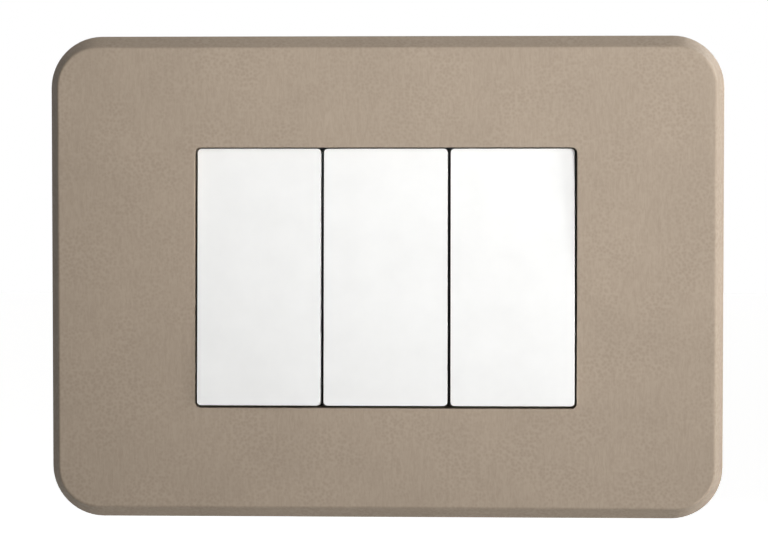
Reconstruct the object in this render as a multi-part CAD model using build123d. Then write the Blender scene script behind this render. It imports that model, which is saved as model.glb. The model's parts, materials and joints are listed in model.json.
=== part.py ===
from build123d import *

import os
from math import cos, radians, sin

# A wall switch of three rocker modules behind a bevelled cover plate.
# x runs to the right, y from the room into the wall, z up, all in millimetres.
# The origin is the centre of the wall face, so the room is at negative y.

# Modules
module_names = ("left", "middle", "right")
module_pitch = 22.5

# Cover plate
plate_width = 120.0
plate_height = 86.0
plate_corner_radius = 9.2
bevel_side = 1.7
bevel_top = 2.2
bevel_depth = 3.5
face_corner_radius = 6.9
face_edge_radius = 0.45
face_wall = 2.0
rim_wall = 1.8
opening_corner_radius = 1.0
opening_edge_chamfer = 0.2
collar_wall = 1.2
plate_rib_wall = 1.0
plate_rib_depth = 1.8
plate_rib_offset = 13.0
hook_side_margin = 8.0
hook_end_margin = 13.5
hook_width = 6.0
hook_thickness = 1.4
hook_barb = 0.8
hook_barb_height = 0.7
hook_slack = 0.15

# Rocker keys
key_overhang = 0.15
key_depth = 3.2
key_face_wall = 1.3
key_skirt_wall = 1.1
key_corner_radius = 0.7
key_edge_chamfer = 0.3
key_gap = 0.46
key_side_gap = 0.36
key_end_gap = 0.30
key_recess = 0.2
key_rib_wall = 0.8
key_rib_depth = 0.9
key_rib_offset = 15.0
key_leg_width = 8.0
key_leg_wall = 1.1
key_leg_hook = 0.6

# Rocking motion
rocker_tilt = 3.0
blade_tilt = 9.0
pivot_depth = 3.4
under_key_clearance = 0.3
running_clearance = 0.05

# Rocker carrier
pad_width = 13.0
pad_height = 18.0
pad_thickness = 1.3
hub_half = 1.7
trunnion_radius = 1.1
trunnion_end_clearance = 0.1
carrier_end_clearance = 0.25
leg_size = 5.2
leg_length = 9.0
gusset_wall = 1.2
gusset_depth = 4.2
gusset_inset = 1.0
bore_size = 3.0
bore_floor = 0.4

# Contact plunger and its spring
plunger_guide = 4.2
plunger_blade_gap = 0.06
spring_wire = 0.4
spring_turns = 4
spring_turn_sides = 8
spring_play = 0.2

# Switch front and housing
module_gap = 0.08
flange_lip = 2.2
flange_thickness = 1.0
front_window_ledge = 0.8
body_height = 41.0
front_wall = 1.7
front_depth = 6.0
ear_thickness = 1.4
ear_wall = 0.6
ear_root = 2.5
tooth_width = 5.0
tooth_height = 0.9
tooth_length = 1.8
tooth_offset = 5.5
tooth_slack = 0.1
housing_wall = 1.4
rear_wall = 1.5
spigot_wall = 0.9
spigot_depth = 1.5
spigot_slack = 0.1
partition_wall = 1.2
partition_depth = 9.0
pedestal_width = 3.0
wire_entry_width = 7.0
wire_entry_height = 3.2
screw_access_slack = 0.2

# Contacts and terminals
pivot_to_blade = 14.5
blade_width = 5.0
blade_thickness = 0.8
blade_tail_gap = 2.2
blade_nose = 2.0
blade_bead_radius = 1.0
blade_stand_off = 0.6
blade_nose_gap = 0.8
contact_size = 3.0
contact_head = 0.9
contact_dome_radius = 4.0
closed_contact_gap = 0.08
fixed_contact_head = 0.7
strip_width = 5.0
strip_thickness = 0.8
strip_end_gap = 1.5
strip_bend_radius = 0.9
jog_length = 1.8
jog_gap = 0.2
load_strip_margin = 2.2
cheek_thickness = 0.8
cheek_half_height = 2.0
cheek_side_gap = 0.3
cheek_rise = 0.3

# Terminal clamps and screws
clamp_end_gap = 1.7
clamp_partition_gap = 0.4
clamp_length = 5.6
clamp_wall = 1.0
clamp_side_gap = 0.2
wire_space = 3.0
clamp_thread_wall = 1.2
clamp_lift = 1.2
terminal_screw_radius = 1.5
fastener_sides = 16
terminal_head_radius = 2.4
terminal_head_height = 2.0
terminal_head_gap = 1.0
screw_slot_width = 0.8
screw_slot_depth = 0.9

# Mounting frame and its box screws
frame_side_clearance = 2.2
frame_end_clearance = 2.7
frame_corner_radius = 5.0
frame_web = 1.6
frame_foot = 1.0
frame_foot_width = 2.4
frame_fit = 0.2
aperture_end_fit = 0.05
frame_rib_wall = 1.4
frame_rib_margin = 7.0
frame_window_width = 6.0
frame_window_gap = 3.0
box_screw_margin = 8.0
box_screw_radius = 1.75
box_screw_neck_radius = 1.55
box_screw_length = 25.0
box_screw_head_radius = 3.4
box_screw_head_height = 2.2
box_slot_width = 4.0
box_slot_length = 7.0

# Heights that follow the module's body
flange_height = body_height + 2 * flange_lip
key_height = flange_height + 2 * key_overhang
opening_height = key_height + 2 * key_end_gap
front_window_height = body_height - 2 * front_wall - 2 * front_window_ledge
chamber_end = body_height / 2 - housing_wall
strip_end = chamber_end - strip_end_gap
clamp_z = chamber_end - clamp_end_gap - clamp_length / 2
clamp_inner = clamp_z - clamp_length / 2
partition_offset = clamp_inner - clamp_partition_gap - partition_wall
contact_arm = clamp_inner - blade_nose_gap - blade_nose
blade_tail = clamp_inner - blade_tail_gap
jog_start = clamp_inner - jog_gap - jog_length

# Sizes of the frame, which fills the plate's hollow
frame_width = plate_width - 2 * (rim_wall + frame_side_clearance)
frame_height = plate_height - 2 * (rim_wall + frame_end_clearance)
frame_rib_offset = frame_height / 2 - frame_rib_margin
hook_x = frame_width / 2 - hook_side_margin
hook_z = frame_height / 2 - hook_end_margin

# Depths from the wall towards the room, each stacked on the one before it
web_back = -frame_foot
frame_front = web_back - frame_web
flange_front = frame_front - flange_thickness
key_travel = key_height / 2 * sin(radians(rocker_tilt))
skirt_back = flange_front - under_key_clearance - key_travel
key_front = skirt_back - key_depth
plate_front = key_front - key_recess
key_inner = key_front + key_face_wall
pivot_y = key_front + pivot_depth

# Depths from the rocker pivot into the wall
leg_back = pivot_y + leg_length
bore_front = pivot_y + bore_floor
blade_y = pivot_y + pivot_to_blade
blade_front = blade_y - blade_stand_off - blade_thickness
plunger_tip = blade_front - plunger_blade_gap
tongue_front = blade_y + blade_bead_radius + running_clearance
front_back = frame_front + front_depth

# Widths that follow the module pitch
module_count = len(module_names)
module_centres = [(i - (module_count - 1) / 2) * module_pitch for i in range(module_count)]
box_screw_spacing = module_count * module_pitch + 2 * box_screw_margin
key_width = module_pitch - key_gap
opening_width = module_count * module_pitch - key_gap + 2 * key_side_gap
front_width = module_pitch - module_gap
front_inner_width = front_width - 2 * front_wall
plunger_half = bore_size / 2 - running_clearance
trunnion_half = front_inner_width / 2 - trunnion_end_clearance
carrier_half = front_inner_width / 2 - ear_thickness - carrier_end_clearance
strip_half = strip_width / 2
clamp_half = strip_half + clamp_side_gap + clamp_wall


def closed_contact_depth():
    """Where the domed moving contact reaches furthest back when its arm is tipped fully in."""
    dome_apex = contact_head - blade_stand_off
    dome_centre = dome_apex - contact_dome_radius
    tipped = dome_centre * cos(radians(blade_tilt)) + contact_arm * sin(radians(blade_tilt))
    return blade_y + tipped + contact_dome_radius


fixed_contact_front = closed_contact_depth() + closed_contact_gap
load_strip_front = fixed_contact_front + fixed_contact_head
load_strip_back = load_strip_front + strip_thickness
clamp_front = load_strip_front - wire_space - clamp_wall
clamp_back = load_strip_back + clamp_lift + clamp_thread_wall
screw_head_front = clamp_back + terminal_head_gap
screw_head_back = screw_head_front + terminal_head_height
housing_back = screw_head_back + rear_wall
housing_floor = housing_back - rear_wall


def facing(y):
    """A drawing plane across the room at depth y, drawn in x and z."""
    return Plane((0, y, 0), x_dir=(1, 0, 0), z_dir=(0, -1, 0))


def slab(outline, front, back):
    """An outline in x and z, filled from depth front to depth back."""
    return extrude(facing(back) * outline, amount=back - front)


def bar(outline, start, end):
    """An outline in y and z, filled from x at start to x at end."""
    return extrude(Plane.YZ.offset(start) * outline, amount=end - start)


def box(x, y, z):
    """A block between two values on each axis."""
    low, high = [min(pair) for pair in (x, y, z)], [max(pair) for pair in (x, y, z)]
    size = [b - a for a, b in zip(low, high)]
    return Pos(*low) * Box(*size, align=(Align.MIN,) * 3)


def ring(width, height, wall, radius=0):
    """The outline of a rectangular wall, measured over its outside, with rounded corners if asked."""
    if radius:
        return RectangleRounded(width, height, radius) - RectangleRounded(
            width - 2 * wall, height - 2 * wall, radius - wall
        )
    return Rectangle(width, height) - Rectangle(width - 2 * wall, height - 2 * wall)


def bevelled_block(inset, back, front):
    """The plate's outer form, or its hollow when inset: a straight rim and a bevel up to the front."""
    bevel_back = plate_front + bevel_depth
    share = (bevel_back - front) / bevel_depth
    width, height = plate_width - 2 * inset, plate_height - 2 * inset
    rim = RectangleRounded(width, height, plate_corner_radius - inset)
    top_radius = plate_corner_radius - inset - share * (plate_corner_radius - face_corner_radius)
    top = RectangleRounded(width - 2 * share * bevel_side, height - 2 * share * bevel_top, top_radius)
    return slab(rim, bevel_back, back) + loft([facing(bevel_back) * rim, facing(front) * top], ruled=True)


def plate_hook(side, end):
    """A snap hook that goes through the frame's slot and catches behind its web."""
    inner = hook_x - hook_thickness / 2
    outer = hook_x + hook_thickness / 2
    catch = web_back + hook_slack
    tip = catch + hook_barb_height
    outline = Polyline(
        (inner, plate_front + face_wall / 2),
        (outer, plate_front + face_wall / 2),
        (outer, catch),
        (outer + hook_barb, catch),
        (outer, tip),
        (inner, tip),
        close=True,
    )
    hook = extrude(Plane.XY.offset(hook_z - hook_width / 2) * make_face(outline), amount=hook_width)
    if side < 0:
        hook = mirror(hook, Plane.YZ)
    return hook if end > 0 else mirror(hook, Plane.XY)


def plate_ribs():
    """Stiffening ribs on the back of the face, from the collar out to the rim."""
    front, back = plate_front + face_wall / 2, plate_front + face_wall + plate_rib_depth
    collar_x = opening_width / 2 + collar_wall / 2
    collar_z = opening_height / 2 + collar_wall / 2
    rim_x = plate_width / 2 - bevel_side - rim_wall / 2
    rim_z = plate_height / 2 - bevel_top - rim_wall / 2
    half = plate_rib_wall / 2
    ribs = []
    for sign in (-1, 1):
        for x in module_centres:
            ribs.append(box((x - half, x + half), (front, back), (sign * collar_z, sign * rim_z)))
        for z in (-plate_rib_offset, plate_rib_offset):
            ribs.append(box((sign * collar_x, sign * rim_x), (front, back), (z - half, z + half)))
    return ribs


def cover_plate():
    """The moulded front plate: bevelled shell, opening with its collar, ribs and snap hooks."""
    body = bevelled_block(0, 0, plate_front)
    body = fillet(body.faces().sort_by(Axis.Y)[0].edges(), face_edge_radius)
    body -= bevelled_block(rim_wall, 0, plate_front + face_wall)
    opening = RectangleRounded(opening_width, opening_height, opening_corner_radius)
    collar = RectangleRounded(
        opening_width + 2 * collar_wall, opening_height + 2 * collar_wall, opening_corner_radius + collar_wall
    )
    body += slab(collar, plate_front + face_wall / 2, frame_front)
    body += plate_ribs()
    body += [plate_hook(side, end) for side in (-1, 1) for end in (-1, 1)]
    body -= slab(opening, plate_front, frame_front)
    face = body.faces().sort_by(Axis.Y)[0]
    return chamfer(face.inner_wires()[0].edges(), opening_edge_chamfer)


def mounting_frame():
    """The support that the modules snap into, screwed to the wall box through its two slots."""
    body = slab(RectangleRounded(frame_width, frame_height, frame_corner_radius), frame_front, web_back)
    body += slab(ring(frame_width, frame_height, frame_foot_width, frame_corner_radius), web_back, 0)
    rib_length = frame_width - 2 * frame_foot_width
    aperture_width = module_count * module_pitch - module_gap + 2 * aperture_end_fit
    aperture = Rectangle(aperture_width, body_height + 2 * frame_fit)
    cuts = [aperture]
    window_start = box_slot_length / 2 + frame_window_gap
    window_end = hook_z - hook_width / 2 - frame_fit - frame_window_gap
    for sign in (-1, 1):
        rib = Pos(0, sign * frame_rib_offset) * Rectangle(rib_length, frame_rib_wall)
        body += slab(rib, web_back, 0)
        screw_slot = SlotOverall(box_slot_length, box_slot_width, rotation=90)
        cuts.append(Pos(sign * box_screw_spacing / 2, 0) * screw_slot)
        slot_inner = hook_x - hook_thickness / 2 - hook_barb - hook_slack
        slot_outer = hook_x + hook_thickness / 2 + hook_slack
        for end in (-1, 1):
            slot = Rectangle(slot_outer - slot_inner, hook_width + 2 * frame_fit)
            cuts.append(Pos(sign * (slot_inner + slot_outer) / 2, end * hook_z) * slot)
            window = Rectangle(frame_window_width, window_end - window_start)
            cuts.append(Pos(sign * box_screw_spacing / 2, end * (window_start + window_end) / 2) * window)
    for cut in cuts:
        body -= slab(cut, frame_front, 0)
    return body


def headed_screw(shank, length, head, head_radius, head_height):
    """A slotted cheese-head screw along +z, its shank below z 0 and its head above it."""
    screw = extrude(shank, amount=-length) + extrude(head, amount=head_height)
    slot = Box(2 * head_radius, screw_slot_width, screw_slot_depth)
    return screw - Pos(0, 0, head_height - screw_slot_depth / 2) * slot


def fixing_screws():
    """The two long screws into the wall box, necked through the frame, heads seated on its front."""
    neck, head = Circle(box_screw_neck_radius), Circle(box_screw_head_radius)
    screw = headed_screw(neck, -frame_front, head, box_screw_head_radius, box_screw_head_height)
    screw = facing(frame_front) * screw + slab(Circle(box_screw_radius), 0, frame_front + box_screw_length)
    return [Pos(sign * box_screw_spacing / 2, 0, 0) * screw for sign in (-1, 1)]


def tipped(shape, y, angle):
    """Turns a shape about the x-wise axis at depth y, as a rocking piece turns from level."""
    return shape.rotate(Axis((0, y, 0), (1, 0, 0)), angle)


def key_leg(end):
    """A snap leg under the key, hooked over the end of the carrier's pad."""
    inner = pad_height / 2 + running_clearance
    outer = inner + key_leg_wall
    catch = key_inner + pad_thickness + running_clearance
    tip = catch + 2 * key_leg_hook
    outline = Polyline(
        (key_front + key_face_wall / 2, inner),
        (catch, inner),
        (catch, inner - key_leg_hook),
        (tip, inner),
        (tip, outer),
        (key_front + key_face_wall / 2, outer),
        close=True,
    )
    leg = bar(make_face(outline), -key_leg_width / 2, key_leg_width / 2)
    return leg if end > 0 else mirror(leg, Plane.XY)


def rocker_key():
    """The white key cap: a shallow tray with broken edges, ribs and two snap legs."""
    body = slab(RectangleRounded(key_width, key_height, key_corner_radius), key_front, skirt_back)
    body = chamfer(body.faces().sort_by(Axis.Y)[0].edges(), key_edge_chamfer)
    inner_width = key_width - 2 * key_skirt_wall
    body -= slab(Rectangle(inner_width, key_height - 2 * key_skirt_wall), key_inner, skirt_back)
    for end in (-1, 1):
        rib = Pos(0, end * key_rib_offset) * Rectangle(inner_width + key_skirt_wall, key_rib_wall)
        body += slab(rib, key_inner - key_face_wall / 2, key_inner + key_rib_depth)
        body += key_leg(end)
    return tipped(body, pivot_y, -rocker_tilt)


def rocker_carrier():
    """The rocker under the key: pad, hub with two trunnions, and the leg bored for the plunger."""
    pad_back = key_inner + pad_thickness
    body = slab(Rectangle(pad_width, pad_height), key_inner, pad_back)
    hub = (pad_back - pad_thickness / 2, pivot_y + hub_half)
    body += box((-carrier_half, carrier_half), hub, (-hub_half, hub_half))
    body += bar(Pos(pivot_y, 0) * Circle(trunnion_radius), -trunnion_half, trunnion_half)
    body += slab(Rectangle(leg_size, leg_size), pad_back - pad_thickness / 2, leg_back)
    gusset_back = pivot_y + gusset_depth
    gusset_end = pad_height / 2 - gusset_inset
    outline = Polyline(
        (pad_back - pad_thickness / 2, -gusset_end),
        (pad_back, -gusset_end),
        (gusset_back, 0),
        (pad_back, gusset_end),
        (pad_back - pad_thickness / 2, gusset_end),
        close=True,
    )
    body += bar(make_face(outline), -gusset_wall / 2, gusset_wall / 2)
    body -= slab(Rectangle(bore_size, bore_size), bore_front, leg_back)
    return tipped(body, pivot_y, -rocker_tilt)


def contact_plunger():
    """The round-nosed pin in the carrier's leg that pushes on the contact blade."""
    rear = leg_back - plunger_guide
    nose = plunger_tip - plunger_half
    outline = Pos((rear + nose) / 2, 0) * Rectangle(nose - rear, 2 * plunger_half)
    outline += Pos(nose, 0) * Circle(plunger_half)
    return tipped(bar(outline, -plunger_half, plunger_half), pivot_y, -rocker_tilt)


def contact_spring():
    """The coil spring between the bore's floor and the plunger."""
    start = bore_front + spring_wire / 2 + running_clearance
    end = leg_back - plunger_guide - spring_wire / 2 - running_clearance
    radius = bore_size / 2 - spring_play - spring_wire / 2
    steps = spring_turns * spring_turn_sides
    section = Pos(radius, 0) * Rectangle(spring_wire, spring_wire)
    sections = []
    for step in range(steps + 1):
        turn = Rot(0, 0, step * 360 / spring_turn_sides)
        lift = Pos(0, 0, step / steps * (end - start))
        sections.append(lift * turn * Rot(90, 0, 0) * section)
    return tipped(facing(end) * loft(sections, ruled=True), pivot_y, -rocker_tilt)


def ear(side):
    """A bearing ear for one trunnion, standing on the inside of the front's wall."""
    radius = trunnion_radius + running_clearance + ear_wall
    root = frame_front + ear_root
    front = pivot_y - radius
    outline = Pos((front + root) / 2, 0) * Rectangle(root - front, 2 * radius)
    outline -= Pos(pivot_y, 0) * Circle(trunnion_radius + running_clearance)
    outer = front_inner_width / 2
    inner = outer - ear_thickness
    return bar(outline, inner, outer) if side > 0 else bar(outline, -outer, -inner)


def snap_tooth(x, end):
    """A wedge on the module's end wall that catches behind the frame's web."""
    wall = body_height / 2
    catch = web_back + tooth_slack
    outline = Polyline(
        (catch, wall - front_wall / 2),
        (catch, wall + tooth_height),
        (catch + tooth_length, wall),
        (catch + tooth_length, wall - front_wall / 2),
        close=True,
    )
    tooth = bar(make_face(outline), x - tooth_width / 2, x + tooth_width / 2)
    return tooth if end > 0 else mirror(tooth, Plane.XY)


def switch_front():
    """The module's front half: flange on the frame, walls through it, bearing ears and snap teeth."""
    body = slab(
        Rectangle(front_width, flange_height) - Rectangle(front_inner_width, front_window_height),
        flange_front,
        frame_front,
    )
    body += slab(ring(front_width, body_height, front_wall), frame_front, front_back)
    body += [ear(side) for side in (-1, 1)]
    body += [snap_tooth(x, end) for x in (-tooth_offset, tooth_offset) for end in (-1, 1)]
    return body


def switch_housing():
    """The module's rear half: open box with terminal chambers, strip seats, wire and screw holes."""
    body = slab(Rectangle(front_width, body_height), front_back, housing_back)
    inner_width = front_width - 2 * housing_wall
    body -= slab(Rectangle(inner_width, body_height - 2 * housing_wall), front_back, housing_floor)
    spigot_width = front_inner_width - 2 * spigot_slack
    spigot_height = body_height - 2 * front_wall - 2 * spigot_slack
    shoulder_wall = front_wall + spigot_slack + spigot_wall
    body += slab(ring(spigot_width, spigot_height, spigot_wall), front_back - spigot_depth, front_back)
    body += slab(ring(front_width, body_height, shoulder_wall), front_back, front_back + spigot_depth)
    partition_front = housing_floor - partition_depth
    wire_y = load_strip_front - wire_space / 2
    for end in (-1, 1):
        wall = Pos(0, end * (partition_offset + partition_wall / 2)) * Rectangle(inner_width, partition_wall)
        slot = Pos(0, end * (partition_offset + partition_wall / 2)) * Rectangle(
            strip_width + 2 * clamp_side_gap, partition_wall
        )
        body += slab(wall, partition_front, housing_floor)
        body -= slab(slot, partition_front, load_strip_back)
        driver_hole = Pos(0, end * clamp_z) * Circle(terminal_head_radius + screw_access_slack)
        body -= slab(driver_hole, housing_floor, housing_back)
        body -= box(
            (-wire_entry_width / 2, wire_entry_width / 2),
            (wire_y - wire_entry_height / 2, wire_y + wire_entry_height / 2),
            (end * body_height / 2, end * (body_height / 2 - housing_wall)),
        )
    load_seat = box(
        (-pedestal_width / 2, pedestal_width / 2),
        (load_strip_back, housing_floor),
        (contact_arm - load_strip_margin, partition_offset),
    )
    common_seat = box(
        (-pedestal_width / 2, pedestal_width / 2),
        (tongue_front + strip_thickness, housing_floor),
        (-jog_start + strip_bend_radius, cheek_half_height),
    )
    return body + load_seat + common_seat


def contact_blade():
    """The tipping contact arm, its pivot bead resting in the common terminal's notches."""
    half = blade_width / 2
    back = blade_front + blade_thickness
    body = box((-half, half), (blade_front, back), (-blade_tail, contact_arm + blade_nose))
    bead_half = half + cheek_side_gap + cheek_thickness
    bead_front = back - blade_thickness / 2
    bead = Pos((bead_front + blade_y) / 2, 0) * Rectangle(blade_y - bead_front, 2 * blade_bead_radius)
    bead += Pos(blade_y, 0) * Circle(blade_bead_radius)
    body += bar(bead, -bead_half, bead_half)
    return tipped(body, blade_y, blade_tilt)


def moving_contact():
    """The silver tip welded to the blade's nose, its face curved about x."""
    back = blade_front + blade_thickness
    apex = back + contact_head
    outline = Pos((back + apex) / 2, contact_arm) * Rectangle(contact_head, contact_size)
    outline &= Pos(apex - contact_dome_radius, contact_arm) * Circle(contact_dome_radius)
    return tipped(bar(outline, -contact_size / 2, contact_size / 2), blade_y, blade_tilt)


def fixed_contact_z():
    """The height at which the tipped dome meets the fixed contact."""
    dome_centre = contact_head - blade_stand_off - contact_dome_radius
    return contact_arm * cos(radians(blade_tilt)) - dome_centre * sin(radians(blade_tilt))


def fixed_contact():
    """The flat silver tip on the load terminal, facing the moving one."""
    tip = Pos(0, fixed_contact_z()) * Rectangle(contact_size, contact_size)
    return slab(tip, fixed_contact_front, load_strip_front)


def load_terminal():
    """The straight strip that carries the fixed contact into its clamp."""
    start = contact_arm - load_strip_margin
    return box((-strip_half, strip_half), (load_strip_front, load_strip_back), (start, strip_end))


def common_terminal():
    """The stepped strip under the blade, with two notched cheeks that hold the blade's pivot."""
    path = FilletPolyline(
        (tongue_front, cheek_half_height),
        (tongue_front, -jog_start),
        (load_strip_front, -jog_start - jog_length),
        (load_strip_front, -strip_end),
        radius=strip_bend_radius,
    )
    outline = make_face(path.offset_2d(strip_thickness, side=Side.LEFT))
    body = bar(outline, -strip_half, strip_half)
    cheek_inner = blade_width / 2 + cheek_side_gap
    cheek_outer = cheek_inner + cheek_thickness
    tongue_back = tongue_front + strip_thickness
    rise = blade_y - cheek_rise
    height = (-cheek_half_height, cheek_half_height)
    body += box((-cheek_outer, cheek_outer), (tongue_front, tongue_back), height)
    for side in (-1, 1):
        body += box((side * cheek_inner, side * cheek_outer), (rise, tongue_back), height)
    notch_radius = blade_bead_radius + running_clearance
    notch = Pos(blade_y, 0) * Circle(notch_radius)
    notch += Pos(rise, 0) * Rectangle(2 * cheek_rise, 2 * notch_radius)
    return body - bar(notch, -cheek_outer, cheek_outer)


def terminal_clamps():
    """The two box clamps that pull a wire up against its strip."""
    clamps = []
    for end in (-1, 1):
        span = (end * clamp_z - clamp_length / 2, end * clamp_z + clamp_length / 2)
        cage = box((-clamp_half, clamp_half), (clamp_front, clamp_back), span)
        inner = clamp_half - clamp_wall
        cage -= box((-inner, inner), (clamp_front + clamp_wall, clamp_back - clamp_thread_wall), span)
        hole = Pos(0, end * clamp_z) * RegularPolygon(terminal_screw_radius, fastener_sides)
        clamps.append(cage - slab(hole, clamp_back - clamp_thread_wall, clamp_back))
    return clamps


def terminal_screws():
    """The two clamp screws, tips on the strips and heads in the housing's access holes."""
    length = screw_head_front - load_strip_back - running_clearance
    shank = RegularPolygon(terminal_screw_radius - running_clearance, fastener_sides)
    head = RegularPolygon(terminal_head_radius, fastener_sides)
    screw = headed_screw(shank, length, head, terminal_head_radius, terminal_head_height)
    rearward = Plane((0, screw_head_front, 0), x_dir=(1, 0, 0), z_dir=(0, 1, 0))
    return [rearward * Pos(0, end * clamp_z, 0) * screw for end in (-1, 1)]


def solids_of(made):
    """The solids in what a piece's function returns, one shape or several."""
    shapes = made if isinstance(made, list) else [made]
    return [solid for shape in shapes for solid in shape.solids()]


def save(name, made, x=0.0):
    """Writes a piece, moved sideways to its module, as parts/NAME.step."""
    moved = [Pos(x, 0, 0) * solid for solid in solids_of(made)]
    export_step(moved[0] if len(moved) == 1 else Compound(children=moved), f"parts/{name}.step")


shared_pieces = {
    "cover_plate": cover_plate,
    "mounting_frame": mounting_frame,
    "fixing_screws": fixing_screws,
}
module_pieces = {
    "rocker_key": rocker_key,
    "rocker_carrier": rocker_carrier,
    "contact_plunger": contact_plunger,
    "contact_spring": contact_spring,
    "switch_front": switch_front,
    "switch_housing": switch_housing,
    "contact_blade": contact_blade,
    "moving_contact": moving_contact,
    "fixed_contact": fixed_contact,
    "load_terminal": load_terminal,
    "common_terminal": common_terminal,
    "terminal_clamps": terminal_clamps,
    "terminal_screws": terminal_screws,
}

os.makedirs("parts", exist_ok=True)
for name, make in shared_pieces.items():
    save(name, make())
for name, make in module_pieces.items():
    piece = make()
    for place, x in zip(module_names, module_centres):
        save(f"{name}_{place}", piece, x)
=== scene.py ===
import json
from math import cos, pi, radians, sin

import bmesh
import bpy
from mathutils import Matrix, Vector

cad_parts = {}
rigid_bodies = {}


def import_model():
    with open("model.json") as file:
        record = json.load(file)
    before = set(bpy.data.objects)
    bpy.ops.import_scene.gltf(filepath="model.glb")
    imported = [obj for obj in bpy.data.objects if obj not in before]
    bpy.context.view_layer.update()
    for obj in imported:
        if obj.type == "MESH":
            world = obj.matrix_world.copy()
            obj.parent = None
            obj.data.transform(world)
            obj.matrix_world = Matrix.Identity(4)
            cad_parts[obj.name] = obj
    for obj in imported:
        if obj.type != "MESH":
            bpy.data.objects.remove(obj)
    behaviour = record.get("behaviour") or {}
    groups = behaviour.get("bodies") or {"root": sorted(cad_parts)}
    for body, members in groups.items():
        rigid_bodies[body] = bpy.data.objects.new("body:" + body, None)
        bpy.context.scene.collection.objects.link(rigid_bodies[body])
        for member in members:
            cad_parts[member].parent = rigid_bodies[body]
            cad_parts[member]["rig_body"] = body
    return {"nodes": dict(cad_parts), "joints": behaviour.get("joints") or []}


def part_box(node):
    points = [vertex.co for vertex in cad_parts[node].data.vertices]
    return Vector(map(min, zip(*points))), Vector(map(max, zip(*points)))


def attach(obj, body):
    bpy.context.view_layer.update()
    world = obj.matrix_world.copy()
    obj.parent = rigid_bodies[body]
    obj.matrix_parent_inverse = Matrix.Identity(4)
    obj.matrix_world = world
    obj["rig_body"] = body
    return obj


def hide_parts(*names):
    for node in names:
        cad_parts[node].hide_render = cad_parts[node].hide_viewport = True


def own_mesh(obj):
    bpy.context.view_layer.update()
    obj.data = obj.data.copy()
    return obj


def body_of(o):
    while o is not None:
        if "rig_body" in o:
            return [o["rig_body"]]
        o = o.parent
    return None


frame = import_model()

bl_info = {
    "name": "Switch plate",
    "version": (1, 0, 0),
    "blender": (4, 5, 0),
    "location": "View3D > Sidebar > Switch plate",
    "description": "Models and finishes a wall switch plate with three rocker keys around its fixed frame",
    "category": "Add Mesh",
}

# Lengths are in metres, as in the frame: x to the right, y from the room into the wall, z up.
MM = 0.001
MODULES = ("left", "middle", "right")
BODY = "switch_body"

# Points closer than this are one point. They are told apart on a grid of a tenth of it, and the turns of a
# thread are welded within twice as much.
SAME_POINT = 0.001 * MM
POINT_GRID = 0.1 * SAME_POINT
TURN_WELD = 2 * SAME_POINT
# How far a piece may pass the box of its node.
BOX_PLAY = 0.2 * MM
# Faces that bend less than the first angle are merged, and edges that bend more than the second are rounded.
FLAT_ANGLE = radians(1)
SHARP_ANGLE = radians(40)
# Edges that bend less than these are shaded smooth. Screws have the smaller one, so that crests stay crisp.
SMOOTH_ANGLE = radians(35)
SCREW_SMOOTH_ANGLE = radians(30)
# How much of a face's normal lies along an axis when the face looks that way.
FACING = 0.9
# Straight stretches in one turn of a thread or spring.
TURN_STEPS = 24
# Depth and crest of a thread, as shares of its pitch.
THREAD_DEPTH = 0.55
THREAD_CREST = 0.25

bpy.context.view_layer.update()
joints = {joint["name"]: joint for joint in frame["joints"]}


def linear(code):
    """A linear colour with full opacity, from an sRGB hex code."""
    channels = [int(code[i : i + 2], 16) / 255 for i in (1, 3, 5)]
    return tuple(c / 12.92 if c <= 0.04045 else ((c + 0.055) / 1.055) ** 2.4 for c in channels) + (1.0,)


def length(name, description, millimetres):
    """A length property whose default is written in millimetres."""
    return bpy.props.FloatProperty(
        name=name,
        description=description,
        default=millimetres * MM,
        unit="LENGTH",
        subtype="DISTANCE",
        precision=5,
    )


def spot(name, description, millimetres):
    """A place property whose default is written in millimetres."""
    return bpy.props.FloatVectorProperty(
        name=name,
        description=description,
        default=[value * MM for value in millimetres],
        size=3,
        unit="LENGTH",
        subtype="TRANSLATION",
    )


def angle(name, description, degrees):
    """An angle property whose default is written in degrees."""
    return bpy.props.FloatProperty(
        name=name, description=description, default=radians(degrees), unit="ROTATION", subtype="ANGLE"
    )


def colour(name, description, code):
    """A colour property whose default is written as an sRGB hex code."""
    return bpy.props.FloatVectorProperty(
        name=name, description=description, default=linear(code), size=4, min=0.0, max=1.0, subtype="COLOR"
    )


def power(name, description, watts):
    """A power property in watts."""
    return bpy.props.FloatProperty(name=name, description=description, default=watts, unit="POWER")


def amount(name, description, value):
    """A plain number property, never below nought."""
    return bpy.props.FloatProperty(name=name, description=description, default=value, min=0.0)


def group(kind, name, description):
    """A property that holds a group of settings."""
    return bpy.props.PointerProperty(type=kind, name=name, description=description)


# Settings


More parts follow.
